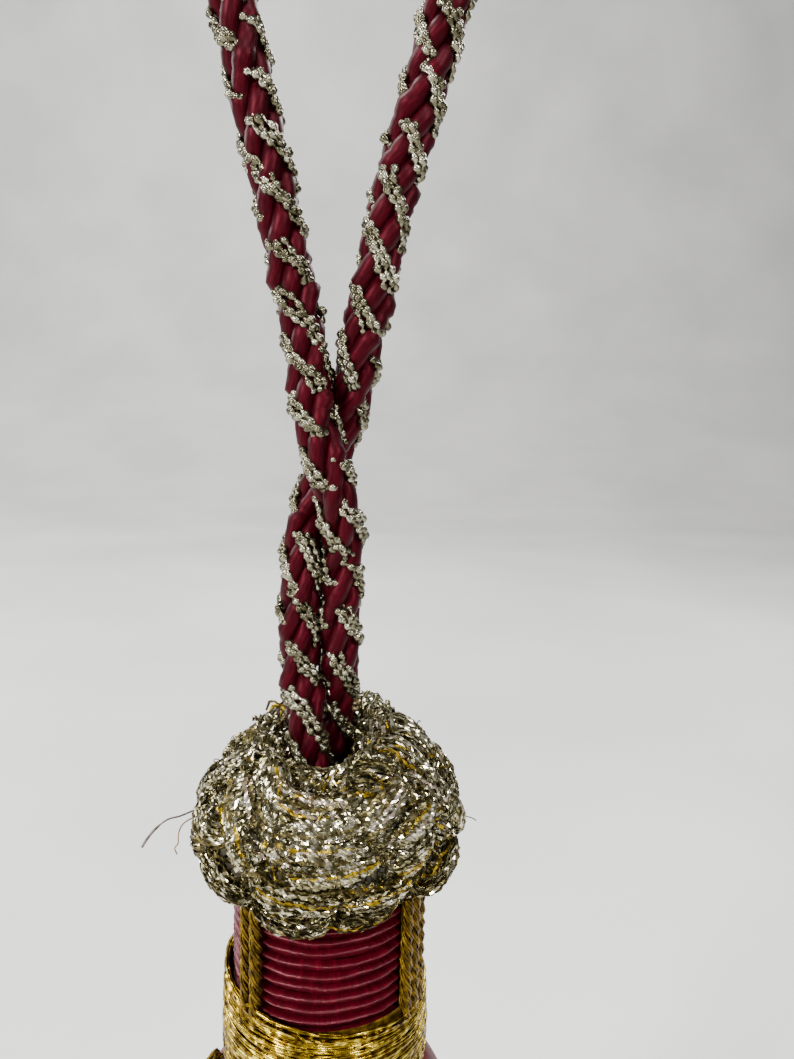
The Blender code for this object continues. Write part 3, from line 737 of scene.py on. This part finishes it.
def gold_band():
    """Threads wound in closed turns. Two in three slant, and the upper ones rise at the left."""
    made = Yarns()
    azimuth = np.linspace(0, TAU, BAND_COLUMNS + 1)[:-1]
    for i in range(BAND_THREADS):
        share = (i + rng.uniform(-0.4, 0.4)) / BAND_THREADS
        slanted = i % 3 != 0
        size = rng.uniform(3.2, 4.4) if slanted else rng.uniform(0.0, 1.0)
        low = BAND_FOOT + 14.2 * share
        rise = size * 0.5 * (1 + np.cos(azimuth - BAND_RISE_AZIMUTH))
        height = low + rise * (0.35 + 0.65 * share) + wave(azimuth, 1.1, 0.2)
        height = np.clip(height, BAND_LOWEST, BAND_TOP)
        out = 15.2 + 0.5 * rng.uniform(0, 1) + wave(azimuth, 0.9, 0.07)
        out = out + 0.35 * np.sin(math.pi * share)
        line = ring(azimuth, out, height) * MM
        size = 0.25 * MM * rng.uniform(0.85, 1.15, len(line))
        turn = rng.uniform(0, TAU) + rng.uniform(-0.3, 0.3, len(line))
        outward = line * (1, 1, 0)
        made.tube(line, size, 4, turn=turn, normal=outward, is_smooth=i % 4 != 0, closed=True)
    backing = ring(np.linspace(0, TAU, 61), np.full(61, 15.1), np.zeros(61))
    rows = np.array([backing + (0, 0, z) for z in (-191.5, BAND_LOWEST)]) * MM
    made.patch(rows, rows, slot=1)
    gold = finish("band_gold", ((62, 44, 0), (132, 105, 16), (232, 206, 84)), 0.2, 1.0, 800, 0.2)
    dark = finish("band_backing", ((60, 43, 0), (100, 76, 8), (140, 112, 24)), 0.45, 0.9, 900, 0.6)
    made.piece("band_threads", [gold, dark], "gold_skein", "gold_band")


def bell():
    """The crimson shoulder as one smooth sheet of satin."""
    made = Yarns()
    azimuth = np.linspace(-math.pi, math.pi, 121)
    profile = smooth([(r, z, 0) for r, z in BELL_PROFILE], 4)
    rows = [ring(azimuth, np.full(121, r), np.full(121, z)) * MM for r, z, _ in profile]
    spread = np.broadcast_arrays(azimuth * 20 * MM, profile[:, 1:2] * MM, 0.0)
    made.patch(np.array(rows), np.stack(spread, axis=-1))
    satin = finish(
        "bell_satin", ((38, 0, 4), (74, 1, 11), (98, 5, 18)), 0.5, 0.0, (1800, 60, 1), 0.6,
        Specular_IOR_Level=0.2,
    )  # fmt: skip
    made.piece("bell_satin", [satin], "crimson_bell", "bell")


def skirt():
    """The fringe's yarns, spread evenly from the middle to the outside under a cap."""
    made = Yarns()
    golden = math.pi * (3 - math.sqrt(5))
    for i in range(FRINGE_YARNS):
        share = math.sqrt((i + 0.5) / FRINGE_YARNS)
        azimuth = golden * i + rng.normal(0, 0.03)
        top, foot = 22.6 * share, 26.2 * share
        t = np.linspace(0, 1, 9)
        length = FRINGE_LENGTH + rng.normal(0, 0.5)
        bend = wave(t, 0.9, 0.5) * t
        radius = top + (foot - top) * t**1.2 + bend * 0.4
        line = ring(azimuth + bend * 0.03, radius, FRINGE_TOP - length * t)
        line[:, 2] = np.maximum(line[:, 2], FRINGE_FOOT)
        made.tube(line * MM, rng.uniform(0.4, 0.55) * MM, 5, turn=t * 9, is_smooth=True)
    cap = ring(np.linspace(-math.pi, math.pi, 61), np.full(61, CAP_RADIUS), np.zeros(61))
    rows = np.array([cap * (share, share, 1) + (0, 0, z) for share, z in CAP_ROWS])
    made.patch(rows * MM, rows * MM)
    yarn = finish(
        "fringe_yarn", ((34, 0, 3), (68, 1, 10), (90, 4, 16)), 0.55, 0.0, (2500, 2500, 90), 0.4,
        Specular_IOR_Level=0.2,
    )  # fmt: skip
    made.piece("skirt_yarns", [yarn], "crimson_fringe", "skirt")


def lamp(name, place, size, power, target=(0, 0, -0.16)):
    """A square white lamp that looks at a target, the ruff's middle if no other is given."""
    data = bpy.data.lights.new(name, "AREA")
    data.size = size
    data.energy = power
    made = bpy.data.objects.new(name, data)
    made.location = place
    aim = Vector(target) - Vector(place)
    made.rotation_euler = aim.to_track_quat("-Z", "Y").to_euler()
    bpy.context.scene.collection.objects.link(made)


def setting():
    """A pale floor that sweeps up far behind, and the lights."""
    across = np.linspace(-6, 6, 25)
    turn = np.linspace(0, math.pi / 2, 25)
    sweep = [(2.0 + 1.6 * math.sin(a), 1.24 - 1.6 * math.cos(a)) for a in turn]
    profile = [(-6.0, -0.36), *sweep, (3.6, 5.0)]
    spots = np.array([[(x, y, z) for x in across] for y, z in profile])
    points = spots[::-1].reshape(-1, 3)
    mesh = bpy.data.meshes.new("studio")
    index = np.arange(len(points)).reshape(len(profile), len(across))
    quads = np.stack((index[:-1, :-1], index[1:, :-1], index[1:, 1:], index[:-1, 1:]), axis=-1)
    mesh.from_pydata(points.tolist(), [], quads.reshape(-1, 4).tolist())
    studio = bpy.data.objects.new("studio", mesh)
    bpy.context.scene.collection.objects.link(studio)
    greys = ((205, 205, 203), (214, 213, 210), (222, 221, 218))
    mesh.materials.append(finish("studio_paint", greys, 0.6, 0.0, 3, 0.1))
    mesh.shade_smooth()
    world = bpy.data.worlds.new("room")
    bpy.context.scene.world = world
    world.use_nodes = True
    background = world.node_tree.nodes["Background"]
    background.inputs["Color"].default_value = (0.86, 0.88, 0.9, 1)
    background.inputs["Strength"].default_value = 0.3
    lamp("key", (-0.6, -0.7, 0.4), 0.2, 17)
    lamp("fill", (0.65, -0.6, 0.5), 0.2, 8.5)
    lamp("top", (0.1, -0.4, 0.9), 0.3, 5)
    lamp("left", (-0.85, -0.45, -0.3), 0.3, 5.5)
    lamp("right", (0.75, -0.5, -0.35), 0.3, 0.3)
    lamp("front", (0.12, -1.0, 0.0), 0.1, 4)
    lamp("behind", (0.5, 0.9, 0.6), 0.4, 8)
    lamp("behind_left", (-0.9, 0.5, 0.3), 0.4, 5)
    lamp("backdrop", (-1.2, 0.8, 1.9), 1.5, 118, target=(0.4, 3.3, -0.1))


def main():
    camera()
    braid()
    ruff()
    neck()
    gold_cords()
    gold_band()
    bell()
    skirt()
    setting()


main()
